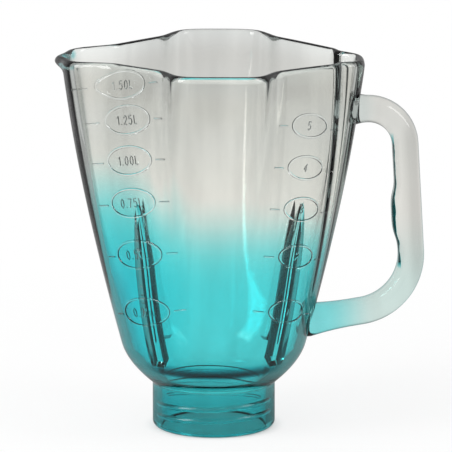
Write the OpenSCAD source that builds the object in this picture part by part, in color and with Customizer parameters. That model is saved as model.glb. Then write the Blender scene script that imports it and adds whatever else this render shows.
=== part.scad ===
// Glass jar of a kitchen blender, pressed in one piece.
// A tapering body of four lobes and four flat corner faces, with a pouring lip on -X and a handle on +X,
// stands on a round neck that is open at the bottom and carries an outside thread.
// The origin is on the jar's axis, level with the sealing face under the neck.

/* [Body] */
// Height of the rim over its front and back lobes, from the bottom of the neck
jar_h = 206; // [180:0.5:230]
// Reach of the lobes from the axis at the rim
rim_r = 81.4; // [74:0.2:92]
// How far the flat corner faces lie inside the reach of the lobes at the rim
lobe_depth = 16.6; // [10:0.2:20]
// Width of the front and back lobes at the rim
lobe_w = 64; // [54:1:70]
// Width of the lobe under the pouring lip at the rim
lip_lobe_w = 64; // [46:1:70]
// Width of the lobe that carries the handle at the rim
handle_lobe_w = 43; // [38:1:66]
// Rounding of the creases between the lobes and the corner faces
crease_round = 5; // [2:0.5:12]
// Height at which the lobes have died out and the body is round
round_h = 60; // [50:1:80]
// How far the front and back lobes sit towards the handle at the rim
lobe_shift = 3.2; // [0:0.1:5]
// Thickness of the glass wall
wall = 5.2; // [4:0.1:6.5]
// Height at which the sides turn into the rounded shoulder
shoulder_h = 47; // [44:0.5:52]
// Reach of the body at the top of the shoulder
shoulder_r = 50.3; // [47:0.1:56]
// How far the sides bulge outside a straight taper
side_bow = 4.6; // [0:0.1:7]
// How far the rim sinks towards the pouring lip
lip_drop = 1.6; // [0:0.1:4]
// How far the rim sinks towards the handle
handle_drop = 3.2; // [0:0.1:5]

/* [Pouring lip] */
// How far the lip stands out of the rim
lip_out = 4.2; // [1:0.1:8]
// Width of the lip, measured round the rim
lip_w = 22; // [14:1:34]
// Height over which the lip grows out of the wall
lip_h = 9; // [6:0.5:18]

/* [Neck] */
// Outside diameter of the neck between its threads
neck_d = 66.8; // [62:0.2:72]
// Diameter of the bore through the neck
bore_d = 57; // [50:0.2:58]
// Height of the neck below the shoulder
neck_h = 25; // [22:0.5:30]
// Rounding of the outside edge at the bottom of the neck
neck_round = 3.2; // [1:0.1:3.4]

/* [Thread] */
// Rise of the thread in one turn
thread_pitch = 6.35; // [5:0.05:7]
// Height of the thread over the neck
thread_rise = 1.1; // [0.6:0.1:1.6]
// Width of the thread at its foot
thread_w = 2.8; // [2:0.1:3.6]
// Height of the lowest thread at the front of the neck
thread_z = 9.8; // [6:0.1:10.5]
// Angle that each stretch of thread covers
thread_arc = 136; // [60:2:150]

/* [Mixing ribs] */
// Height of the ribs' upper ends
rib_top = 132.5; // [100:0.5:160]
// Height of the ribs' lower ends
rib_foot = 41.5; // [40:0.5:54]
// How far a rib stands out of the wall at its foot
rib_rise = 7.2; // [3:0.2:9]
// Width of a rib where it leaves the wall
rib_w = 10.4; // [7:0.2:12]
// Width of a rib along its crest
rib_crest_w = 6.6; // [3:0.2:8]
// Length over which a rib rises out of the wall at its upper end
rib_run = 40; // [20:1:60]
// How much lower the two back ribs end than the front ones
back_rib_drop = 13; // [0:0.5:30]
// How far the ribs are turned out of the corners towards the handle, in degrees
rib_turn = 3; // [0:0.5:5]

/* [Handle] */
// Distance from the jar's axis to the middle of the grip
grip_x = 105.7; // [98:0.1:116]
// Height of the middle of the upper arm
arm_top = 175.4; // [160:0.2:182]
// Height of the lower arm where it leaves the wall
arm_foot = 58.4; // [54:0.2:68]
// Rise of the lower arm from the wall to the grip
arm_rise = 10; // [0:0.5:16]
// How much further out the grip is at its lower end
grip_lean = 6.4; // [0:0.2:12]
// Radius of the upper bend
bend_top = 20; // [10:0.5:22]
// Radius of the lower bend
bend_foot = 32; // [14:0.5:36]
// Thickness of the handle, seen from the side
grip_t = 14.4; // [11:0.2:17]
// Width of the handle, seen from its end
grip_w = 18; // [12:0.5:22]
// Extra thickness where the fingers close round the grip
grip_swell = 2.4; // [0:0.1:5]
// Height of the middle of that swell
swell_h = 118; // [105:1:130]
// Reach of that swell to either side of its middle
swell_run = 13; // [8:0.5:16]
// Extra thickness of the arms where they meet the wall
root_flare = 4; // [0:0.2:6]
// Length over which the upper arm takes on its flare
flare_top = 9; // [4:0.5:12]
// Length over which the lower arm takes on its flare
flare_foot = 26; // [4:1:30]

/* [Hidden] */

// Rings between the shoulder and the rim, and across the shoulder
side_steps = 13;
shoulder_steps = 7;
// How strongly the rings gather towards the rim, where 1 is evenly
rim_gather = 1.6;
// Points round the body, a multiple of 8
ring_points = 96;
// Steps over the rounded top of the rim
rim_steps = 4;
// How far the bend of the sides lies over the middle of their height
side_bend = 14;
// Share of the shoulder's height over which it keeps the run of the sides
shoulder_run = 0.5;
// How far the shoulder starts outside the neck
shoulder_step = 0.2;
// Power with which the lobes grow over the height
lobe_growth = 1.5;
// Squareness of the lobes in plan, where 2 is an ellipse
lobe_power = 4.6;
// Angle over which a corner face stays flat, to either side of its middle
face_reach = 22;
// Height under the rim over which the wall joins in the rim's sinking
sink_run = 26;
// How far one form reaches into the glass of another
joint = 1.5;
// Half the thread's width under the neck's surface and at its crest, as shares of its width
thread_foot_share = 0.65;
thread_crest_share = 0.18;
// How quickly a stretch of thread rises at its ends, where 1 is a sine over its whole length
thread_start = 3;
// Rounding of the edges along a rib's crest
rib_round = 1;
// Power with which a rib rises out of the wall, and where on that rise it starts
rib_growth = 0.8;
rib_tip = 0.4;
// How deep in the glass a rib's crest starts, and the share of its width that it has there
rib_sink = 0.7;
rib_tip_w = 0.4;
// How strongly the rings of a rib gather at its upper end
rib_gather = 1.5;
// Power that squares off the oval section of the handle, where 1 is an ellipse
section_power = 0.8;
// Power that flattens the middle of the grip's swell
swell_power = 4;
// How deep the handle's ends reach into the wall, as a share of its thickness
root_share = 0.62;
// Steps along the upper arm, the grip, the lower arm and each bend, and round the handle
arm_top_steps = 3;
grip_steps = 14;
arm_foot_steps = 5;
arc_steps = 8;
handle_sides = 20;

rim_round = wall / 2;
neck_r = neck_d / 2;
bore_r = bore_d / 2;
body_h = jar_h - rim_round;

// Point of a bent line that leaves a towards b and arrives at c
function bend(a, b, c, t) = (1 - t) * (1 - t) * a + 2 * t * (1 - t) * b + t * t * c;

// Outline of the body as [radius, height], from the neck up to the rim
side_mid = [(rim_r + shoulder_r) / 2 + 2 * side_bow, (body_h + shoulder_h) / 2 + side_bend];
side_foot = [shoulder_r, shoulder_h];
shoulder_foot = [neck_r + shoulder_step, neck_h];
side_slope = (side_mid - side_foot) / norm(side_mid - side_foot);
shoulder_mid = side_foot - side_slope * (shoulder_h - neck_h) * shoulder_run;
outline = concat(
    [for (i = [0:shoulder_steps - 1]) bend(shoulder_foot, shoulder_mid, side_foot, i / shoulder_steps)],
    [
        for (i = [0:side_steps])
            bend(side_foot, side_mid, [rim_r, body_h], 1 - pow(1 - i / side_steps, rim_gather))
    ]
);
last = len(outline) - 1;

// Inward normal of the outline at point i
function inward(i) =
    let (d = outline[min(i + 1, last)] - outline[max(i - 1, 0)])
    [-d[1], d[0]] / norm(d);

// Smooth step from 0 to 1 as x goes from a to b
function ease(a, b, x) =
    let (t = max(0, min(1, (x - a) / (b - a))))
    t * t * (3 - 2 * t);

// Share of the rim's shape that the body has at height z
function lobed(z) = pow(max(0, (z - round_h) / (body_h - round_h)), lobe_growth);

// Angle of point i round the body
function ring_angle(i) = 360 * i / ring_points;

// How far the pouring lip stands out at angle a and height z
function lip(a, z) =
    let (across = sin(a) * rim_r / (lip_w / 2))
    cos(a) > 0 ? 0 : lip_out * exp(-2 * across * across) * ease(jar_h - lip_h, body_h, z);

// Radius of a lobe at the rim, d degrees off its middle, from its reach and its width
function lobe_r(d, reach, width) =
    let (along = pow(cos(d) / reach, lobe_power))
    let (across = pow(abs(sin(d)) / (width / 2), lobe_power))
    pow(along + across, -1 / lobe_power);

// The greater of two radii, with their meeting rounded over the length k
function blend(p, q, k) = max(p, q) + k / 4 * pow(max(0, 1 - abs(p - q) / k), 2);

// Radius of the rim at angle a, where each lobe meets the flat corner faces in a crease
function rim_outline(a) =
    let (m = round(a / 90))
    let (side = (m % 4 + 4) % 4)
    let (d = a - 90 * m)
    let (width = side == 0 ? handle_lobe_w : side == 2 ? lip_lobe_w : lobe_w)
    let (reach = rim_r - lobe_shift * cos(90 * m))
    let (face = (rim_r - lobe_depth) / cos(min(45 - abs(d), face_reach)))
    blend(lobe_r(d, reach, width), face, crease_round);

// Radius of the body at angle a, where its lobes reach r at height z
function body_r(a, r, z) = r - (rim_r - rim_outline(a)) * lobed(z) + lip(a, z);

// Lengthening of a radial offset where the wall runs aslant to the radius
function aslant(a, r, z) =
    let (turn = (body_r(a + 1, r, z) - body_r(a - 1, r, z)) * 90 / PI)
    norm([1, turn / body_r(a, r, z)]);

// How far the rim sinks at distance x along the handle's direction
function sink(x) = (x > 0 ? handle_drop : lip_drop) * pow(x / rim_r, 2);

// Point of the body's skin at outline point i and angle a, moved inwards by inset
function skin_point(i, a, inset) =
    let (r = outline[i][0])
    let (z = outline[i][1])
    let (n = inward(i))
    let (reach = body_r(a, r, z) + inset * n[0] * aslant(a, r, z))
    let (x = lobe_shift * lobed(z) + reach * cos(a))
    [x, reach * sin(a), z + inset * n[1] - sink(x) * ease(jar_h - sink_run, body_h, z)];

function skin_ring(i, inset) = [for (k = [0:ring_points - 1]) skin_point(i, ring_angle(k), inset)];

// Ring on the rounded top of the rim, t from 0 outside to 180 inside
function rim_ring(t) = [
    for (k = [0:ring_points - 1])
        let (outer = skin_point(last, ring_angle(k), 0))
        let (inner = skin_point(last, ring_angle(k), wall))
        (outer + inner) / 2 + (outer - inner) / 2 * cos(t) + [0, 0, rim_round * sin(t)]
];

// Round ring of radius r at height z
function round_ring(r, z) = [
    for (k = [0:ring_points - 1]) [r * cos(ring_angle(k)), r * sin(ring_angle(k)), z]
];

// Solid between rings of equal length, closed by flat ends
module loft(rings) {
    n = len(rings[0]);
    m = len(rings);
    sides = [
        for (j = [0:m - 2])
            for (k = [0:n - 1])
                let (a = j * n + k)
                let (b = j * n + (k + 1) % n)
                each [[a, b + n, b], [a, a + n, b + n]]
    ];
    ends = [[for (k = [0:n - 1]) k], [for (k = [0:n - 1]) m * n - 1 - k]];
    polyhedron([for (ring = rings) each ring], concat(sides, ends), convexity = 6);
}

// Solid between rings of equal length, where the last ring joins the first
module loop(rings) {
    n = len(rings[0]);
    m = len(rings);
    sides = [
        for (j = [0:m - 1])
            for (k = [0:n - 1])
                let (a = j * n)
                let (b = (j + 1) % m * n)
                let (next = (k + 1) % n)
                each [[a + k, b + next, a + next], [a + k, b + k, b + next]]
    ];
    polyhedron([for (ring = rings) each ring], sides, convexity = 6);
}

// Body wall, whose lower edge ends inside the glass of the neck
module body() {
    loop(concat(
        [round_ring(neck_r - joint, neck_h - 2 * joint)],
        [for (i = [0:last]) skin_ring(i, 0)],
        [for (i = [1:rim_steps - 1]) rim_ring(180 * i / rim_steps)],
        [for (i = [last:-1:0]) skin_ring(i, wall)],
        [round_ring(bore_r - joint, neck_h + wall - joint)]
    ));
}

// Neck with a rounded outside edge, filled in a little beyond the bore
module neck() {
    top = neck_h + wall / 2;
    core = bore_r - joint;
    rotate_extrude($fn = 96) {
        translate([core, neck_round])
            square([neck_r - core, top - neck_round]);
        translate([core, 0])
            square([neck_r - neck_round - core, top]);
        translate([neck_r - neck_round, neck_round])
            circle(neck_round, $fn = 48);
    }
}

// Room of the bore, from below the neck up to the floor of the body
module bore() {
    translate([0, 0, -joint])
        cylinder(h = neck_h + 2 * wall, r = bore_r, $fn = 96);
}

// Stretch of thread centred on angle middle, at height z there
module thread_stretch(middle, z) {
    steps = 20;
    foot = thread_w * thread_foot_share;
    crest = thread_w * thread_crest_share;
    loft([
        for (i = [0:steps])
            let (turn = thread_arc * (i / steps - 0.5))
            let (a = middle + turn)
            let (h = z + thread_pitch * turn / 360)
            let (rise = thread_rise * min(1, thread_start * sin(180 * (i + joint / 4) / (steps + joint / 2))))
            [
                for (p = [[-joint / 2, foot], [rise, crest], [rise, -crest], [-joint / 2, -foot]])
                    [(neck_r + p[0]) * cos(a), (neck_r + p[0]) * sin(a), h + p[1]]
            ]
    ]);
}

// Two turns of thread, broken where the halves of the mould met
module thread() {
    for (turn = [0, 1])
        for (side = [0, 1])
            thread_stretch(-90 + 180 * side, thread_z + thread_pitch * (turn + side / 2));
}

// Reach of the lobes at height z, straight between the outline's points
function side_r(z) =
    let (i = [for (k = [0:last - 1]) if (outline[k + 1][1] > z) k][0])
    let (t = (z - outline[i][1]) / (outline[i + 1][1] - outline[i][1]))
    outline[i][0] + t * (outline[i + 1][0] - outline[i][0]);

// Rib up the inside of the wall at angle a, rising out of the wall below its upper end at height top
module rib(a, top) {
    steps = 14;
    loft([
        for (i = [0:steps])
            let (t = 1 - pow(1 - i / steps, rib_gather))
            let (z = rib_foot + (top - rib_foot) * t)
            let (grow = pow(sin(90 * min(1, (top - z + rib_tip) / rib_run)), rib_growth))
            let (root = body_r(a, side_r(z), z) - wall)
            let (crest = root + rib_sink - (rib_rise + rib_sink) * grow)
            let (half = rib_w / 2 * (rib_tip_w + (1 - rib_tip_w) * grow))
            let (edge = rib_crest_w / 2 * (rib_tip_w + (1 - rib_tip_w) * grow))
            let (x = lobe_shift * lobed(z))
            [
                for (p = [
                    [root + joint, half],
                    [crest + rib_round, edge],
                    [crest, edge - rib_round],
                    [crest, rib_round - edge],
                    [crest + rib_round, -edge],
                    [root + joint, -half]
                ])
                    [x + p[0] * cos(a) - p[1] * sin(a), p[0] * sin(a) + p[1] * cos(a), z]
            ]
    ]);
}

// Arc of radius r that rounds the corner at b on the way from a to c
function corner_arc(a, b, c, r, steps) =
    let (u = (a - b) / norm(a - b))
    let (v = (c - b) / norm(c - b))
    let (half = acos(u * v) / 2)
    let (centre = b + (u + v) / norm(u + v) * r / sin(half))
    let (side = cross([u[0], u[1], 0], [v[0], v[1], 0])[2] > 0 ? 1 : -1)
    let (first = b + u * r / tan(half) - centre)
    [
        for (i = [0:steps])
            let (t = side * -(180 - 2 * half) * i / steps)
            centre + [first[0] * cos(t) - first[1] * sin(t), first[0] * sin(t) + first[1] * cos(t)]
    ];

// Points that part the way from a to b, without a and b
function between(a, b, parts) = [for (i = [1:parts - 1]) a + (b - a) * i / parts];

// Run of the wall at height z, as a unit vector [x, z] that points up
function wall_run(z) =
    let (d = [side_r(z + grip_t / 2) - side_r(z - grip_t / 2), grip_t])
    d / norm(d);

// Middle line of the handle as [x, z], from the upper arm's root to the lower arm's
root_in = root_share * wall;
root_top = [side_r(arm_top) - root_in, arm_top];
root_foot = [side_r(arm_foot) - root_in, arm_foot];
elbow_top = [grip_x - grip_lean / 2, arm_top];
elbow_foot = [grip_x + grip_lean / 2, arm_foot + arm_rise];
arc_top = corner_arc(root_top, elbow_top, elbow_foot, bend_top, arc_steps);
arc_foot = corner_arc(elbow_top, elbow_foot, root_foot, bend_foot, arc_steps);
middle_line = concat(
    [root_top],
    between(root_top, arc_top[0], arm_top_steps),
    arc_top,
    between(arc_top[arc_steps], arc_foot[0], grip_steps),
    arc_foot,
    between(arc_foot[arc_steps], root_foot, arm_foot_steps),
    [root_foot]
);

// Direction across the middle line at its point i, away from the finger gap
function outward(i) =
    let (m = len(middle_line) - 1)
    let (d = middle_line[min(i + 1, m)] - middle_line[max(i - 1, 0)])
    i == 0 ? wall_run(arm_top) : i == m ? -wall_run(arm_foot) : [-d[1], d[0]] / norm(d);

module handle() {
    loft([
        for (i = [0:len(middle_line) - 1])
            let (p = middle_line[i])
            let (n = outward(i))
            let (near_top = max(0, 1 - norm(p - root_top) / flare_top))
            let (near_foot = max(0, 1 - norm(p - root_foot) / flare_foot))
            let (extra = root_flare * pow(max(near_top, near_foot), 2))
            let (swell = grip_swell * exp(-pow((p[1] - swell_h) / swell_run, swell_power)))
            [
                for (k = [0:handle_sides - 1])
                    let (a = -360 * k / handle_sides)
                    let (c = sign(cos(a)) * pow(abs(cos(a)), section_power))
                    let (s = sign(sin(a)) * pow(abs(sin(a)), section_power))
                    let (out = c * ((grip_t + extra) / 2 + (c < 0 ? swell : 0)))
                    [p[0] + n[0] * out, s * (grip_w + extra) / 2, p[1] + n[1] * out]
            ]
    ]);
}

module jar() {
    color([0.55, 0.86, 0.87])
        difference() {
            union() {
                body();
                neck();
                thread();
                for (corner = [45, 135])
                    rib(corner - rib_turn, rib_top - back_rib_drop);
                for (corner = [225, 315])
                    rib(corner + rib_turn, rib_top);
                handle();
            }
            bore();
        }
}

jar();
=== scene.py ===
import math

import bpy
import numpy as np
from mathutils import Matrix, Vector


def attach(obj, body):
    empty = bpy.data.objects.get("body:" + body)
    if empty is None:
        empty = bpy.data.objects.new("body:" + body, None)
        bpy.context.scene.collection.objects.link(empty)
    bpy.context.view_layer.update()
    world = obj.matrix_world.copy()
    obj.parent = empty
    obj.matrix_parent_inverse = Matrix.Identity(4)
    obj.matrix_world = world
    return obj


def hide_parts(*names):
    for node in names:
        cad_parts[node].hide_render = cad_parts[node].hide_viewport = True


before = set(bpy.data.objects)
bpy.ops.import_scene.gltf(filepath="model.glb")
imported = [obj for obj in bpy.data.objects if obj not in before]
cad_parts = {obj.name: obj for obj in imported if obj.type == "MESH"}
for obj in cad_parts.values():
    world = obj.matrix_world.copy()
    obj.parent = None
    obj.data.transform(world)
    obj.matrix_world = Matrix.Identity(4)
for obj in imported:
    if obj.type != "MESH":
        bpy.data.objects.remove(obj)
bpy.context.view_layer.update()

# Sizes in millimetres, the same as the part's own
JAR_H = 206
RIM_R = 81.4
LOBE_DEPTH = 16.6
LOBE_WIDTHS = (43, 64, 64, 64)
LOBE_POWER = 4.6
LOBE_SHIFT = 3.2
FACE_REACH = math.radians(22)
CREASE_ROUND = 8
ROUND_H = 60
WALL = 5.2
SHOULDER_H = 47
SHOULDER_R = 50.3
SIDE_BOW = 4.6
SIDE_BEND = 14
SHOULDER_RUN = 0.5
LOBE_GROWTH = 1.5
SINK_RUN = 26
LIP_DROP = 1.6
HANDLE_DROP = 3.2
LIP_OUT = 4.2
LIP_W = 22
LIP_H = 9
NECK_R = 33.4
BORE_R = 28.5
NECK_H = 25
NECK_ROUND = 3.2
THREAD_PITCH = 6.35
THREAD_RISE = 1.1
THREAD_W = 2.8
THREAD_Z = 9.8
THREAD_ARC = 136
RIB_TOP = 132.5
RIB_FOOT = 41.5
RIB_RISE = 7.2
RIB_W = 10.4
RIB_CREST_W = 6.6
RIB_RUN = 40
RIB_SINK = 0.7
BACK_RIB_DROP = 13
RIB_TURN = 3
GRIP_X = 105.7
ARM_TOP = 175.4
ARM_FOOT = 58.4
ARM_RISE = 10
GRIP_LEAN = 6.4
BEND_TOP = 20
BEND_FOOT = 32
GRIP_T = 14.4
GRIP_W = 18
GRIP_SWELL = 2.4
SWELL_H = 118
SWELL_RUN = 13
ROOT_FLARE = 4
FLARE_TOP = 9
FLARE_FOOT = 26
SECTION_POWER = 0.8
GRIP_INSET = 0.06
JOINT = 1.5

RIM_ROUND = WALL / 2
BODY_H = JAR_H - RIM_ROUND

# Fineness of the meshes
AROUND = 288
SIDE_STEPS = 56
SHOULDER_STEPS = 16
RIM_STEPS = 10


def turned(degrees):
    return np.cos(np.radians(degrees)), np.sin(np.radians(degrees))


def ease(a, b, x):
    t = np.clip((x - a) / (b - a), 0, 1)
    return t * t * (3 - 2 * t)


def bent(a, b, c, t):
    """Points of the bent line that leaves a towards b and arrives at c."""
    a, b, c = (np.array(p, float) for p in (a, b, c))
    t = np.asarray(t, float)[:, None]
    return (1 - t) ** 2 * a + 2 * t * (1 - t) * b + t**2 * c


SIDE_FOOT = (SHOULDER_R, SHOULDER_H)
SIDE_MID = ((RIM_R + SHOULDER_R) / 2 + 2 * SIDE_BOW, (BODY_H + SHOULDER_H) / 2 + SIDE_BEND)
SIDE_TOP = (RIM_R, BODY_H)
SHOULDER_FOOT = (NECK_R, NECK_H)


def shoulder_mid():
    run = np.subtract(SIDE_MID, SIDE_FOOT)
    return np.array(SIDE_FOOT) - run / np.linalg.norm(run) * (SHOULDER_H - NECK_H) * SHOULDER_RUN


def outline():
    """The body's outline as rows of radius and height, from the neck up to the rim."""
    shoulder = bent(SHOULDER_FOOT, shoulder_mid(), SIDE_FOOT, np.linspace(0, 1, SHOULDER_STEPS, endpoint=False))
    side = bent(SIDE_FOOT, SIDE_MID, SIDE_TOP, 1 - (1 - np.linspace(0, 1, SIDE_STEPS + 1)) ** 1.3)
    return np.vstack([shoulder, side])


OUTLINE = outline()


def inward(line):
    """Normals of an outline that point into the glass."""
    d = np.gradient(line, axis=0)
    return np.stack([-d[:, 1], d[:, 0]], 1) / np.linalg.norm(d, axis=1)[:, None]


OUTLINE_IN = inward(OUTLINE)


def side_r(z):
    return np.interp(z, OUTLINE[:, 1], OUTLINE[:, 0])


def lobed(z):
    return np.maximum(0, (z - ROUND_H) / (BODY_H - ROUND_H)) ** LOBE_GROWTH


def lip(a, z):
    across = np.sin(a) * RIM_R / (LIP_W / 2)
    out = LIP_OUT * np.exp(-2 * across**2) * ease(JAR_H - LIP_H, BODY_H, z)
    return np.where(np.cos(a) > 0, 0, out)


def rim_outline(a):
    """Radius of the rim at angle a, where each lobe meets the flat corner faces in a crease."""
    m = np.round(a / (math.pi / 2))
    d = a - m * math.pi / 2
    width = np.array(LOBE_WIDTHS)[np.int_(m) % 4]
    reach = RIM_R - LOBE_SHIFT * np.cos(m * math.pi / 2)
    along = (np.cos(d) / reach) ** LOBE_POWER
    lobe = (along + np.abs(np.sin(d) / (width / 2)) ** LOBE_POWER) ** (-1 / LOBE_POWER)
    face = (RIM_R - LOBE_DEPTH) / np.cos(np.minimum(math.pi / 4 - np.abs(d), FACE_REACH))
    rounding = CREASE_ROUND / 4 * np.maximum(0, 1 - np.abs(lobe - face) / CREASE_ROUND) ** 2
    return np.maximum(lobe, face) + rounding


def body_r(a, r, z):
    """Radius of the body at angle a, where its lobes reach r at height z."""
    return r - (RIM_R - rim_outline(a)) * lobed(z) + lip(a, z)


def aslant(a, r, z):
    step = math.radians(1)
    turn = (body_r(a + step, r, z) - body_r(a - step, r, z)) / (2 * step)
    return np.hypot(1, turn / body_r(a, r, z))


def sink(x):
    return np.where(x > 0, HANDLE_DROP, LIP_DROP) * (x / RIM_R) ** 2


def skin(a, r, z, n, inset):
    """Point of the body's skin at angle a and outline point r, z with inward normal n, moved in by inset."""
    reach = body_r(a, r, z) + inset * n[0] * aslant(a, r, z)
    x = LOBE_SHIFT * lobed(z) + reach * np.cos(a)
    y = reach * np.sin(a)
    return np.stack([x, y, z + inset * n[1] - sink(x) * ease(JAR_H - SINK_RUN, BODY_H, z)], -1)


def outer_skin(a, z):
    """Points on the outside of the wall at angles a and heights z."""
    i = np.interp(z, OUTLINE[:, 1], np.arange(len(OUTLINE)))
    r = np.interp(i, np.arange(len(OUTLINE)), OUTLINE[:, 0])
    return skin(a, r, z, (0, 0), 0)


def mesh_object(name, points, faces):
    mesh = bpy.data.meshes.new(name)
    mesh.from_pydata(np.asarray(points, float) * 0.001, [], faces)
    mesh.update()
    piece = bpy.data.objects.new(name, mesh)
    bpy.context.scene.collection.objects.link(piece)
    return piece


def ring_faces(rings, n, closed):
    """Quads between rings of n points. A closed loft joins its last ring to its first, an open one gets ends."""
    faces = []
    for j in range(rings if closed else rings - 1):
        low, high = j * n, (j + 1) % rings * n
        for k in range(n):
            m = (k + 1) % n
            faces.append((low + k, low + m, high + m, high + k))
    if not closed:
        faces.append(tuple(range(n - 1, -1, -1)))
        faces.append(tuple((rings - 1) * n + k for k in range(n)))
    return faces


def joined(parts):
    """Points and faces of several lofts as one list each."""
    points, faces, base = [], [], 0
    for p, f in parts:
        points.append(p)
        faces += [tuple(i + base for i in face) for face in f]
        base += len(p)
    return np.vstack(points), faces


def loft(rings, closed=False):
    rings = np.asarray(rings, float)
    return rings.reshape(-1, 3), ring_faces(len(rings), rings.shape[1], closed)


def around():
    return np.arange(AROUND) * 2 * math.pi / AROUND


def arc(centre, radius, first, last, steps):
    c, s = turned(np.linspace(first, last, steps + 1))
    return np.stack([centre[0] + radius * c, centre[1] + radius * s], 1)


def wall_loop():
    """Neck and body wall as one closed skin: up the outside, over the rim, down the inside and the bore."""
    a = around()
    flat = [np.stack([np.cos(a), np.sin(a), np.zeros_like(a)], 1)][0]

    def round_ring(r, z):
        return flat * r + np.array([0, 0, z])

    edge = 0.8
    bottom = np.vstack([
        arc((BORE_R + edge, edge), edge, 180, 270, 4),
        arc((NECK_R - NECK_ROUND, NECK_ROUND), NECK_ROUND, -90, 0, 10),
        [[NECK_R, z] for z in np.linspace(NECK_ROUND, NECK_H - 1.2, 8)[1:]],
        bent((NECK_R, NECK_H - 1.2), (NECK_R, NECK_H), OUTLINE[1], np.linspace(0, 1, 6))[1:-1],
    ])
    rings = [round_ring(r, z) for r, z in bottom]
    rings += [skin(a, r, z, (0, 0), 0) for r, z in OUTLINE[1:]]
    r, z = OUTLINE[-1]
    outer = skin(a, r, z, (0, 0), 0)
    inner = skin(a, r, z, OUTLINE_IN[-1], WALL)
    for t in np.linspace(0, math.pi, RIM_STEPS + 1)[1:-1]:
        rings.append((outer + inner) / 2 + (outer - inner) / 2 * math.cos(t) + [0, 0, RIM_ROUND * math.sin(t)])
    for i in range(len(OUTLINE) - 1, 1, -1):
        rings.append(skin(a, *OUTLINE[i], OUTLINE_IN[i], WALL))
    r, z = OUTLINE[2] + OUTLINE_IN[2] * WALL
    floor_z = NECK_H + WALL - JOINT
    floor = np.vstack([
        bent((r, z), (BORE_R + 0.5, floor_z + 0.3), (BORE_R, floor_z - 2), np.linspace(0, 1, 7))[1:],
        [[BORE_R, z] for z in np.linspace(floor_z - 2, edge, 8)[1:-1]],
    ])
    rings += [round_ring(r, z) for r, z in floor]
    return loft(rings, closed=True)


def rib(angle, top):
    """Rounded rib up the inside of a corner, rising out of the wall below its upper end at height top."""
    a = math.radians(angle)
    c, s = math.cos(a), math.sin(a)
    rings = []
    for t in 1 - (1 - np.linspace(0, 1, 44)) ** 1.5:
        z = RIB_FOOT + (top - RIB_FOOT) * t
        grow = math.sin(math.pi / 2 * min(1, (top - z + 0.4) / RIB_RUN)) ** 0.8
        foot = math.sqrt(1 - max(0, 1 - (z - RIB_FOOT + 0.3) / 3) ** 2)
        root = float(body_r(a, side_r(z), z)) - WALL
        rise = ((RIB_RISE + RIB_SINK) * grow - RIB_SINK) * foot + JOINT
        half = RIB_W / 2 * (0.4 + 0.6 * grow)
        narrow = 1 - RIB_CREST_W / RIB_W
        x0 = LOBE_SHIFT * float(lobed(z))
        ring = []
        for u in np.linspace(-90, 90, 23):
            cu, su = math.cos(math.radians(u)), math.sin(math.radians(u))
            h = abs(cu) ** 0.4 * rise
            across = math.copysign(abs(su) ** 0.4, su) * half * (1 - narrow * h / rise)
            p = root + JOINT - h
            ring.append((x0 + p * c - across * s, p * s + across * c, z))
        rings.append(ring)
    return loft(rings)


def thread_stretch(middle, z):
    steps = 64
    rings = []
    for i in range(steps + 1):
        turn = THREAD_ARC * (i / steps - 0.5)
        fade = math.sin(math.pi * (i + 0.4) / (steps + 0.8))
        rise = THREAD_RISE * min(1, 3 * fade)
        c, s = turned(middle + turn)
        h = z + THREAD_PITCH * turn / 360
        ring = []
        for u in np.linspace(-1, 1, 13):
            out = (rise + JOINT / 2) * (math.cos(math.pi / 2 * u) ** 0.7 if abs(u) < 1 else 0) - JOINT / 2
            ring.append(((NECK_R + out) * c, (NECK_R + out) * s, h + u * THREAD_W * 0.65))
        rings.append(ring)
    return loft(rings)


def corner_arc(a, b, c, r, steps):
    """Arc of radius r that rounds the corner at b on the way from a to c."""
    a, b, c = (np.array(p, float) for p in (a, b, c))
    u, v = (a - b) / np.linalg.norm(a - b), (c - b) / np.linalg.norm(c - b)
    half = math.acos(float(u @ v)) / 2
    centre = b + (u + v) / np.linalg.norm(u + v) * r / math.sin(half)
    side = 1 if u[0] * v[1] - u[1] * v[0] > 0 else -1
    first = b + u * r / math.tan(half) - centre
    t = -side * (math.pi - 2 * half) * np.linspace(0, 1, steps + 1)
    return centre + np.stack([first[0] * np.cos(t) - first[1] * np.sin(t), first[0] * np.sin(t) + first[1] * np.cos(t)], 1)


def between(a, b, parts):
    return a + (b - a) * (np.arange(1, parts) / parts)[:, None]


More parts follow.
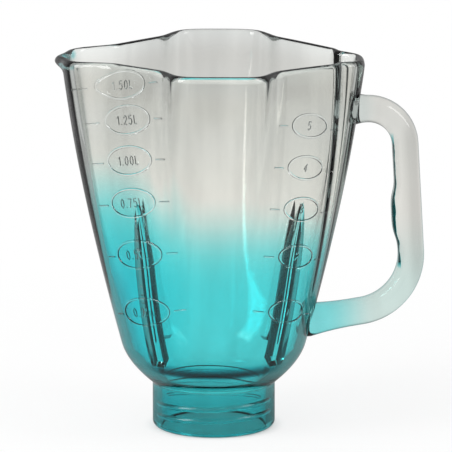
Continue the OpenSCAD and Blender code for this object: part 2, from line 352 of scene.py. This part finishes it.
def handle():
    root_in = 0.62 * WALL
    root_top = np.array([side_r(ARM_TOP) - root_in, ARM_TOP])
    root_foot = np.array([side_r(ARM_FOOT) - root_in, ARM_FOOT])
    elbow_top = np.array([GRIP_X - GRIP_LEAN / 2, ARM_TOP])
    elbow_foot = np.array([GRIP_X + GRIP_LEAN / 2, ARM_FOOT + ARM_RISE])
    top = corner_arc(root_top, elbow_top, elbow_foot, BEND_TOP, 20)
    foot = corner_arc(elbow_top, elbow_foot, root_foot, BEND_FOOT, 28)
    line = np.vstack([
        [root_top], between(root_top, top[0], 10), top, between(top[-1], foot[0], 44), foot,
        between(foot[-1], root_foot, 20), [root_foot],
    ])
    d = np.gradient(line, axis=0)
    n = np.stack([-d[:, 1], d[:, 0]], 1) / np.linalg.norm(d, axis=1)[:, None]
    for i, z, way in ((0, ARM_TOP, 1), (len(line) - 1, ARM_FOOT, -1)):
        run = np.array([side_r(z + GRIP_T / 2) - side_r(z - GRIP_T / 2), GRIP_T])
        n[i] = way * run / np.linalg.norm(run)
    k = -2 * math.pi * np.arange(48) / 48
    c = np.sign(np.cos(k)) * np.abs(np.cos(k)) ** SECTION_POWER
    s = np.sign(np.sin(k)) * np.abs(np.sin(k)) ** SECTION_POWER
    rings = []
    for p, across in zip(line, n):
        near = max(0, 1 - np.linalg.norm(p - root_top) / FLARE_TOP, 1 - np.linalg.norm(p - root_foot) / FLARE_FOOT)
        extra = ROOT_FLARE * near**2
        swell = GRIP_SWELL * math.exp(-((p[1] - SWELL_H) / SWELL_RUN) ** 4)
        out = c * ((GRIP_T + extra) / 2 + np.where(c < 0, swell, 0))
        rings.append(np.stack([p[0] + across[0] * out - GRIP_INSET, s * (GRIP_W + extra) / 2, p[1] + across[1] * out], 1))
    return loft(rings)


# Strokes of the figures, each as points in a box 0.6 wide and 1 high
FIGURES = {
    "0": [[(0.3, 1), (0.08, 0.86), (0, 0.5), (0.08, 0.14), (0.3, 0), (0.52, 0.14), (0.6, 0.5), (0.52, 0.86)]],
    "1": [[(0.12, 0.8), (0.34, 1), (0.34, 0)]],
    "2": [[(0.02, 0.76), (0.12, 0.94), (0.3, 1), (0.5, 0.92), (0.57, 0.72), (0.46, 0.48), (0, 0), (0.6, 0)]],
    "3": [[(0.02, 0.86), (0.28, 1), (0.52, 0.88), (0.52, 0.64), (0.24, 0.53), (0.56, 0.4), (0.56, 0.14), (0.28, 0), (0, 0.14)]],
    "4": [[(0.44, 0), (0.44, 1), (0, 0.3), (0.34, 0.3)], [(0.36, 0.3), (0.62, 0.3)]],
    "5": [[(0.54, 1), (0.08, 1), (0.04, 0.58), (0.3, 0.64), (0.54, 0.52), (0.58, 0.26), (0.4, 0.02), (0.14, 0), (0, 0.12)]],
    "7": [[(0, 1), (0.58, 1), (0.22, 0)]],
    ".": [[(0.1, 0), (0.1, 0.1)]],
    "L": [[(0, 1), (0, 0), (0.46, 0)]],
}
MARK_RISE = 0.42
MARK_DEPTH = 0.35
MARK_TILT = 11


def on_skin(angle, z, u, v, lift):
    """Points of the outside wall, u to the side and v above the place at this angle and height, raised by lift."""
    step = 1e-3
    c, s = turned(MARK_TILT if math.sin(2 * angle) > 0 else -MARK_TILT)
    u, v = u * c - v * s, u * s + v * c
    speed = np.linalg.norm(outer_skin(angle + step, z) - outer_skin(angle - step, z)) / (2 * step)
    a, h = angle + u / speed, z + v
    at = outer_skin(a, h)
    n = np.cross(outer_skin(a + step, h) - at, outer_skin(a, h + 0.1) - at)
    return at + n / np.linalg.norm(n, axis=-1)[..., None] * np.asarray(lift)[..., None]


def place_at(x, z, first, last):
    """Angle between first and last, in degrees, at which the outside wall at height z has this x."""
    a = np.radians(np.linspace(first, last, 200))
    return float(np.interp(x, outer_skin(a, np.full(200, float(z)))[:, 0], a))


def ridge(angle, z, path, width, closed):
    """Low rounded ridge on the outside wall along a path of points beside the place at this angle and height."""
    path = np.asarray(path, float)
    if closed:
        d = np.roll(path, -1, 0) - np.roll(path, 1, 0)
    else:
        d = np.gradient(path, axis=0)
    side = np.stack([-d[:, 1], d[:, 0]], 1) / np.linalg.norm(d, axis=1)[:, None]
    rings = []
    for offset, lift in ((-0.62, -MARK_DEPTH), (-0.42, MARK_RISE / 2), (-0.2, MARK_RISE), (0.2, MARK_RISE), (0.42, MARK_RISE / 2), (0.62, -MARK_DEPTH)):
        p = path + side * offset * width
        rings.append(on_skin(angle, z, p[:, 0], p[:, 1], np.full(len(p), lift)))
    return loft(np.stack(rings, 1), closed)


def smooth_path(points, steps=4):
    """More points along a stroke, with its corners kept."""
    points = np.asarray(points, float)
    t = np.arange(len(points))
    fine = np.linspace(0, len(points) - 1, (len(points) - 1) * steps + 1)
    return np.stack([np.interp(fine, t, points[:, 0]), np.interp(fine, t, points[:, 1])], 1)


def figures(text, angle, z, height):
    """Raised figures centred on the place at this angle and height."""
    widths = [0.34 if c == "." else 0.5 if c == "1" else 0.56 if c == "L" else 0.7 for c in text]
    gap = 0.16
    start = -(sum(widths) + gap * (len(text) - 1)) / 2
    parts, extra = [], []
    for c, w in zip(text, widths):
        for i, stroke in enumerate(FIGURES[c]):
            path = (np.array(stroke) * (0.82, 1) + (start, -0.5)) * height
            ring = ridge(angle, z, path if c == "0" else smooth_path(path, 2), 0.75, c == "0")
            (extra if i else parts).append(ring)
        start += w + gap
    return parts, extra


def marks():
    """Scale of litres on the front left face and a plain 1 to 5 on the front right one."""
    ring = np.linspace(0, 2 * math.pi, 56, endpoint=False)
    sets = (
        ((200, 262), (16.6, 7.6), 4.6, ((-48.3, 196.0, "1.50L"), (-45.9, 177.4, "1.25L"), (-45.3, 155.6, "1.00L"),
                                       (-43.7, 132.8, "0.75L"), (-40.7, 104.6, "0.50L"), (-37.2, 72.3, "0.25L"))),
        ((278, 340), (13.4, 6.2), 4.2, ((51.3, 174.0, "5"), (49.2, 151.5, "4"), (47.3, 128.9, "3"),
                                       (44.6, 102.8, "2"), (39.7, 72.1, "1"))),
    )
    parts, extra = [], []
    for (first, last), (long, high), height, places in sets:
        for x, z, text in places:
            angle = place_at(x, z, first, last)
            parts.append(ridge(angle, z, np.stack([long * np.cos(ring), high * np.sin(ring)], 1), 1.3, True))
            p, e = figures(text, angle, z, height)
            parts += p
            extra += e
            for way in (-1, 1):
                tick = [(way * (long + 3.4 + t), -0.6 if long > 15 else -1.2) for t in np.linspace(0, 6.5, 5)]
                parts.append(ridge(angle, z, tick, 0.9, False))
    return parts, extra


def outward(piece):
    """Turns a closed piece's faces outwards."""
    import bmesh

    bm = bmesh.new()
    bm.from_mesh(piece.data)
    bmesh.ops.remove_doubles(bm, verts=bm.verts, dist=1e-7)
    if bm.calc_volume(signed=True) < 0:
        bmesh.ops.reverse_faces(bm, faces=bm.faces)
    bm.to_mesh(piece.data)
    bm.free()
    return piece


def fuse(piece, other):
    mod = piece.modifiers.new("fuse", "BOOLEAN")
    mod.operation = "UNION"
    mod.solver = "MANIFOLD"
    mod.object = other
    graph = bpy.context.evaluated_depsgraph_get()
    fused = bpy.data.meshes.new_from_object(piece.evaluated_get(graph))
    piece.modifiers.clear()
    piece.data = fused
    bpy.data.objects.remove(other)
    return piece


def deepen(mesh):
    """Marks with painted shade the front ribs' flanks that face the sides of the jar, where the glass shows the dark
    room by reflection and is painted almost black, and marks the raised ovals, ticks and figures.
    """
    count = len(mesh.polygons)
    centre, normal = np.zeros(count * 3), np.zeros(count * 3)
    mesh.polygons.foreach_get("center", centre)
    mesh.polygons.foreach_get("normal", normal)
    centre, normal = centre.reshape(-1, 3) * 1000, normal.reshape(-1, 3)
    deep = np.zeros(count)
    for corner, side in ((225, -1), (315, 1)):
        c, s = turned(corner + RIB_TURN)
        out = np.array([-s, c, 0]) * side
        x0 = LOBE_SHIFT * lobed(centre[:, 2])
        reach = (centre[:, 0] - x0) * c + centre[:, 1] * s
        across = ((centre[:, 0] - x0) * -s + centre[:, 1] * c) * side
        angle = math.radians(corner + RIB_TURN)
        root = body_r(np.full(count, angle), side_r(centre[:, 2]), centre[:, 2]) - WALL
        near = (across > 0.8) & (across < RIB_W) & (reach < root - 2.6) & (reach > root - RIB_RISE - 1)
        near &= (centre[:, 2] > RIB_FOOT - 1) & (centre[:, 2] < RIB_TOP)
        deep[near & (normal @ out > 0.5)] = 1
    x, y, z = centre.T
    mesh.attributes.new("deep", "FLOAT", "FACE").data.foreach_set("value", deep)
    x = x - LOBE_SHIFT * lobed(z)
    lift = np.hypot(x, y) - body_r(np.arctan2(y, x), side_r(z), z)
    # Raised ovals, ticks and figures, which the glass leaves untinted as a painted highlight
    raised = (lift > 0.05) & (lift < 0.6) & (z > 58) & (z < BODY_H - 6) & (np.abs(x) < GRIP_X - 40) & (y < -20)
    mesh.attributes.new("raised", "FLOAT", "FACE").data.foreach_set("value", raised.astype(float))
    print("deep", int(deep.sum()), "raised", int(raised.sum()))


def build_jar():
    jar = outward(mesh_object("glass_jar", *wall_loop()))
    for corner in (45, 135, 225, 315):
        turn, top = (-RIB_TURN, RIB_TOP - BACK_RIB_DROP) if corner < 180 else (RIB_TURN, RIB_TOP)
        jar = fuse(jar, outward(mesh_object("rib", *rib(corner + turn, top))))
    stretches = [
        thread_stretch(-90 + 180 * side, THREAD_Z + THREAD_PITCH * (turn + side / 2))
        for turn in (0, 1) for side in (0, 1)
    ]
    jar = fuse(jar, outward(mesh_object("thread", *joined(stretches))))
    jar = fuse(jar, outward(mesh_object("handle", *handle())))
    for parts in marks():
        jar = fuse(jar, outward(mesh_object("marks", *joined(parts))))
    jar.data.shade_smooth()
    jar.data.set_sharp_from_angle(angle=math.radians(38))
    deepen(jar.data)
    return jar


def ramp(nodes, stops):
    node = nodes.new("ShaderNodeValToRGB")
    node.color_ramp.interpolation = "B_SPLINE"
    while len(node.color_ramp.elements) < len(stops):
        node.color_ramp.elements.new(0.5)
    for element, (at, colour) in zip(node.color_ramp.elements, stops):
        element.position = at
        element.color = (*colour, 1)
    return node


def maths(nodes, links, operation, *inputs):
    """Math node whose inputs are sockets or plain numbers."""
    node = nodes.new("ShaderNodeMath")
    node.operation = operation
    for socket, value in zip(node.inputs, inputs):
        if isinstance(value, (int, float)):
            socket.default_value = value
        else:
            links.new(value, socket)
    return node.outputs[0]


def mapped(nodes, links, value, start, end, low, high):
    """Smooth step from low to high as the value goes from start to end."""
    node = nodes.new("ShaderNodeMapRange")
    node.interpolation_type = "SMOOTHSTEP"
    for name, given in (("Value", value), ("From Min", start), ("From Max", end), ("To Min", low), ("To Max", high)):
        if isinstance(given, (int, float)):
            node.inputs[name].default_value = given
        else:
            links.new(given, node.inputs[name])
    return node.outputs["Result"]


def glass():
    """Pressed glass, faintly grey at the rim and teal from the middle down, with a higher edge under the pouring lip."""
    mat = bpy.data.materials.new("glass")
    mat.use_nodes = True
    nodes, links = mat.node_tree.nodes, mat.node_tree.links
    shader = nodes["Principled BSDF"]
    shader.inputs["Transmission Weight"].default_value = 1
    shader.inputs["Roughness"].default_value = 0.0
    shader.inputs["IOR"].default_value = 1.5
    place = nodes.new("ShaderNodeTexCoord")
    split = nodes.new("ShaderNodeSeparateXYZ")
    links.new(place.outputs["Object"], split.inputs[0])
    x, y, z = split.outputs
    clear = ramp(nodes, [
        (0.00, (0.72, 0.66, 0.62)),
        (0.12, (0.82, 0.80, 0.77)),
        (0.18, (0.98, 0.94, 0.90)),
        (0.66, (0.965, 0.945, 0.91)),
        (0.74, (0.90, 0.885, 0.85)),
        (0.83, (0.85, 0.84, 0.82)),
        (0.90, (0.845, 0.825, 0.79)),
        (0.945, (0.82, 0.80, 0.77)),
        (0.985, (0.95, 0.95, 0.93)),
    ])
    links.new(maths(nodes, links, "DIVIDE", z, JAR_H * 0.001), clear.inputs[0])
    right = mapped(nodes, links, x, -0.055, -0.005, 0, 1)
    height = maths(nodes, links, "MULTIPLY_ADD", y, 0.1, z)
    full = maths(nodes, links, "MULTIPLY_ADD", right, 0.006, 0.070)
    none = maths(nodes, links, "MULTIPLY_ADD", right, -0.030, 0.152)
    most = maths(nodes, links, "MULTIPLY_ADD", right, -0.64, 1.42)
    dose = mapped(nodes, links, height, full, none, most, 0)
    dose = maths(nodes, links, "MULTIPLY", dose, mapped(nodes, links, x, 0.058, 0.086, 1, 0.18))
    dose = maths(nodes, links, "ADD", dose, mapped(nodes, links, z, 0.008, 0.027, 0.5, 0))
    # Painted shade from the rib flanks' attribute, joined by a painted dark ring across the front of the lower shoulder
    deep = nodes.new("ShaderNodeAttribute")
    deep.attribute_name = "deep"
    ring = maths(nodes, links, "MULTIPLY", mapped(nodes, links, z, 0.0352, 0.0375, 0, 1), mapped(nodes, links, z, 0.0385, 0.044, 1, 0))
    ring = maths(nodes, links, "MULTIPLY", ring, mapped(nodes, links, y, -0.038, -0.026, 0.93, 0))
    deep = maths(nodes, links, "ADD", ring, deep.outputs["Fac"])
    # Painted shade: a dark band along the inner edge of the grip's near half, between 88 and 164 mm up, in place of the
    # dark reflection seen there; its width wobbles with noise and grows at the swell
    lean = GRIP_LEAN / (ARM_TOP - ARM_FOOT - ARM_RISE)
    inner = maths(nodes, links, "MULTIPLY_ADD", z, -lean, (GRIP_X + GRIP_LEAN / 2 + (ARM_FOOT + ARM_RISE) * lean) * 0.001)
    inner = maths(nodes, links, "SUBTRACT", inner, x)
    swell = maths(nodes, links, "MULTIPLY", mapped(nodes, links, z, 0.101, 0.109, 0, 1), mapped(nodes, links, z, 0.126, 0.136, 1, 0))
    skin = maths(nodes, links, "MULTIPLY_ADD", swell, GRIP_SWELL * 0.001, GRIP_T * 0.0005)
    speckle = nodes.new("ShaderNodeTexNoise")
    speckle.inputs["Scale"].default_value = 130
    speckle.inputs["Detail"].default_value = 3
    links.new(place.outputs["Object"], speckle.inputs["Vector"])
    width = maths(nodes, links, "MULTIPLY_ADD", swell, 0.0012, 0.0004)
    width = maths(nodes, links, "ADD", width, maths(nodes, links, "MULTIPLY", speckle.outputs["Fac"], 0.0016))
    start = maths(nodes, links, "SUBTRACT", skin, width)
    painted_dark_band = mapped(nodes, links, inner, start, maths(nodes, links, "ADD", start, 0.0003), 0, 1)
    ends = maths(nodes, links, "MULTIPLY", mapped(nodes, links, z, 0.088, 0.092, 0, 1), mapped(nodes, links, z, 0.156, 0.164, 1, 0))
    painted_dark_band = maths(nodes, links, "MULTIPLY", painted_dark_band, maths(nodes, links, "MULTIPLY", ends, mapped(nodes, links, x, 0.086, 0.089, 0, 1)))
    painted_dark_band = maths(nodes, links, "MULTIPLY", painted_dark_band, mapped(nodes, links, y, -0.0036, -0.0030, 1, 0))
    deep = maths(nodes, links, "MAXIMUM", deep, painted_dark_band)
    # Painted shade: the top of the pouring lip darkened
    painted_lip_shade = maths(nodes, links, "MULTIPLY", mapped(nodes, links, x, -0.081, -0.076, 0.5, 0), mapped(nodes, links, z, 0.198, 0.201, 0, 1))
    deep = maths(nodes, links, "MAXIMUM", deep, painted_lip_shade)
    # Painted shade: where it is set, the glass takes a much stronger teal and is darkened almost to black
    dose = maths(nodes, links, "MULTIPLY_ADD", deep, 2.2, dose)
    channels = nodes.new("ShaderNodeCombineXYZ")
    for i, teal in enumerate((0.20, 0.895, 0.97)):
        dark = maths(nodes, links, "MULTIPLY_ADD", deep, (0.0004, 0.003, 0.003)[i] - 1, 1)
        links.new(maths(nodes, links, "MULTIPLY", maths(nodes, links, "POWER", teal, dose), dark), channels.inputs[i])
    tint = nodes.new("ShaderNodeVectorMath")
    tint.operation = "MULTIPLY"
    links.new(clear.outputs["Color"], tint.inputs[0])
    links.new(channels.outputs[0], tint.inputs[1])
    # Darker where the glass is seen aslant: teal low down, grey in the upper body and little at the rim. This is partly
    # the longer path through the tinted glass and partly painted shade for the dark edges.
    facing = nodes.new("ShaderNodeLayerWeight")
    slant = mapped(nodes, links, facing.outputs["Facing"], 0.6, 0.95, 0, 1)
    painted_edge_shade = ramp(nodes, [
        (0.00, (0.35, 0.85, 0.88)),
        (0.50, (0.35, 0.80, 0.82)),
        (0.68, (0.35, 0.46, 0.46)),
        (0.88, (0.35, 0.46, 0.46)),
        (0.95, (0.90, 0.92, 0.92)),
    ])
    links.new(maths(nodes, links, "DIVIDE", z, JAR_H * 0.001), painted_edge_shade.inputs[0])
    edge = nodes.new("ShaderNodeVectorMath")
    edge.operation = "MULTIPLY"
    links.new(tint.outputs[0], edge.inputs[0])
    links.new(mixed(nodes, links, slant, (1, 1, 1), painted_edge_shade.outputs["Color"]), edge.inputs[1])
    # Random upright streaks of tone, multiplied by painted shade
    streaks = nodes.new("ShaderNodeTexNoise")
    streaks.inputs["Scale"].default_value = 1
    streaks.inputs["Detail"].default_value = 2
    drawn = nodes.new("ShaderNodeVectorMath")
    drawn.operation = "MULTIPLY"
    links.new(place.outputs["Object"], drawn.inputs[0])
    drawn.inputs[1].default_value = (70, 70, 5)
    links.new(drawn.outputs[0], streaks.inputs["Vector"])
    streaks_and_painted_shade = mapped(nodes, links, streaks.outputs["Fac"], 0.35, 0.65, 0.94, 1.04)
    # Painted shade: the outer half of the grip darker
    streaks_and_painted_shade = maths(nodes, links, "MULTIPLY", streaks_and_painted_shade, mapped(nodes, links, inner, -0.004, 0.003, 0.71, 1.0))
    # Painted shade: the top of the far wall darker
    painted_far_shade = maths(nodes, links, "MULTIPLY", mapped(nodes, links, z, 0.165, 0.18, 0, 0.17), mapped(nodes, links, y, 0.03, 0.05, 0, 1))
    streaks_and_painted_shade = maths(nodes, links, "MULTIPLY", streaks_and_painted_shade, maths(nodes, links, "SUBTRACT", 1, painted_far_shade))
    shaded_colour = nodes.new("ShaderNodeVectorMath")
    shaded_colour.operation = "SCALE"
    warm = nodes.new("ShaderNodeVectorMath")
    warm.operation = "MULTIPLY"
    links.new(edge.outputs[0], warm.inputs[0])
    links.new(mixed(nodes, links, mapped(nodes, links, x, 0.08, 0.09, 0, 1), (1, 1, 1), (1.04, 0.98, 0.97)), warm.inputs[1])
    links.new(warm.outputs[0], shaded_colour.inputs[0])
    links.new(streaks_and_painted_shade, shaded_colour.inputs["Scale"])
    # Painted highlight: the raised marks take no tint, so they read as light lines
    raised = nodes.new("ShaderNodeAttribute")
    raised.attribute_name = "raised"
    links.new(mixed(nodes, links, raised.outputs["Fac"], shaded_colour.outputs[0], (1, 1, 1)), shader.inputs["Base Color"])
    depth = nodes.new("ShaderNodeVolumeAbsorption")
    depth.inputs["Color"].default_value = (0.46, 0.63, 0.61, 1)
    depth.inputs["Density"].default_value = 25
    links.new(depth.outputs[0], nodes["Material Output"].inputs["Volume"])
    return mat


def ways_of_seeing(nodes, links):
    """1 for rays from the eye that met no reflection, and 1 for those that did; both are 0 for light on a matt surface."""
    path = nodes.new("ShaderNodeLightPath")
    seen = maths(nodes, links, "SUBTRACT", 1, path.outputs["Is Diffuse Ray"])
    bounced = maths(nodes, links, "GREATER_THAN", path.outputs["Glossy Depth"], 0.5)
    reflected = maths(nodes, links, "MULTIPLY", seen, bounced)
    return maths(nodes, links, "SUBTRACT", seen, reflected), reflected


def mixed(nodes, links, factor, first, second):
    """Colour that turns from the first into the second as the factor goes from 0 to 1."""
    node = nodes.new("ShaderNodeMix")
    node.data_type = "RGBA"
    links.new(factor, node.inputs["Factor"])
    for name, value in (("A", first), ("B", second)):
        if isinstance(value, tuple):
            node.inputs[name].default_value = (*value, 1)
        else:
            links.new(value, node.inputs[name])
    return node.outputs["Result"]


def stage():
    """Pale floor that the eye sees as white, with the object's shadow faint on it, and that fades into the white."""
    reach = 450
    floor = mesh_object("floor", [(-reach, -reach, 0), (reach, -reach, 0), (reach, reach, 0), (-reach, reach, 0)], [(0, 1, 2, 3)])
    mat = bpy.data.materials.new("floor")
    mat.use_nodes = True
    nodes, links = mat.node_tree.nodes, mat.node_tree.links
    nodes.clear()
    out = nodes.new("ShaderNodeOutputMaterial")
    straight, reflected = ways_of_seeing(nodes, links)
    matt = nodes.new("ShaderNodeBsdfDiffuse")
    links.new(mixed(nodes, links, reflected, (0.9, 0.9, 0.9), (0.42, 0.42, 0.42)), matt.inputs["Color"])
    white = nodes.new("ShaderNodeEmission")
    place = nodes.new("ShaderNodeTexCoord")
    far = nodes.new("ShaderNodeVectorMath")
    far.operation = "LENGTH"
    links.new(place.outputs["Object"], far.inputs[0])
    share = mapped(nodes, links, far.outputs["Value"], 0.10, 0.44, 0.8, 1)
    under = mapped(nodes, links, far.outputs["Value"], 0.026, 0.040, 0.15, 1)
    share = maths(nodes, links, "MULTIPLY", share, under)
    mix = nodes.new("ShaderNodeMixShader")
    links.new(maths(nodes, links, "MULTIPLY", straight, share), mix.inputs[0])
    links.new(matt.outputs[0], mix.inputs[1])
    links.new(white.outputs[0], mix.inputs[2])
    links.new(mix.outputs[0], out.inputs["Surface"])
    floor.data.materials.append(mat)


def softbox(name, place, target, size, power):
    light = bpy.data.lights.new(name, "AREA")
    light.shape = "RECTANGLE"
    light.size, light.size_y = size
    light.energy = power
    lamp = bpy.data.objects.new(name, light)
    lamp.location = place
    lamp.rotation_euler = Vector(np.subtract(target, place)).to_track_quat("-Z", "Y").to_euler()
    bpy.context.scene.collection.objects.link(lamp)
    return lamp


def lights():
    world = bpy.data.worlds.new("studio")
    bpy.context.scene.world = world
    world.use_nodes = True
    nodes, links = world.node_tree.nodes, world.node_tree.links
    way = nodes.new("ShaderNodeTexCoord")
    split = nodes.new("ShaderNodeSeparateXYZ")
    links.new(way.outputs["Generated"], split.inputs[0])
    backdrop = ramp(nodes, [(0.0, (1, 1, 1)), (0.30, (1, 1, 1)), (0.55, (0.5, 0.5, 0.5)), (1.0, (0.45, 0.45, 0.45))])
    backdrop.color_ramp.interpolation = "EASE"
    links.new(split.outputs["Z"], backdrop.inputs[0])
    path = nodes.new("ShaderNodeLightPath")
    straight, reflected = ways_of_seeing(nodes, links)
    light = mixed(nodes, links, straight, (0.7, 0.7, 0.7), backdrop.outputs["Color"])
    across = maths(nodes, links, "ABSOLUTE", maths(nodes, links, "MULTIPLY", split.outputs["X"], split.outputs["Y"]))
    room = mapped(nodes, links, across, 0.25, 0.45, 0.34, 0.7)
    light = mixed(nodes, links, reflected, light, room)
    light = mixed(nodes, links, path.outputs["Is Camera Ray"], light, (1, 1, 1))
    links.new(light, nodes["Background"].inputs["Color"])
    softbox("left_box", (-0.9, -0.5, 0.7), (0, 0, 0.1), (0.5, 0.9), 9)
    softbox("right_box", (0.9, -0.3, 0.8), (0, 0, 0.1), (0.4, 0.8), 3.5)


def camera():
    """The photograph's view: 452 pixels wide, seen from 2.4 m away and a little above the rim."""
    pixels = 452
    focal = 4515
    eye = (0, -2.4, 0.60965)
    pitch = math.radians(11.7456)
    pan = math.atan((pixels / 2 - 213.4) / focal)
    cam = bpy.data.cameras.new("camera")
    cam.sensor_width = 36
    cam.lens = focal / pixels * cam.sensor_width
    cam.clip_end = 20
    view = bpy.data.objects.new("camera", cam)
    view.location = eye
    view.rotation_euler = (math.pi / 2 - pitch, 0, -pan)
    bpy.context.scene.collection.objects.link(view)
    bpy.context.scene.camera = view


scene = bpy.context.scene
scene.view_settings.view_transform = "Standard"
camera()
stage()
lights()
jar = build_jar()
jar.data.materials.clear()
jar.data.materials.append(glass())
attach(jar, "root")
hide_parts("jar")
print("triangles", sum(len(p.vertices) - 2 for p in jar.data.polygons))
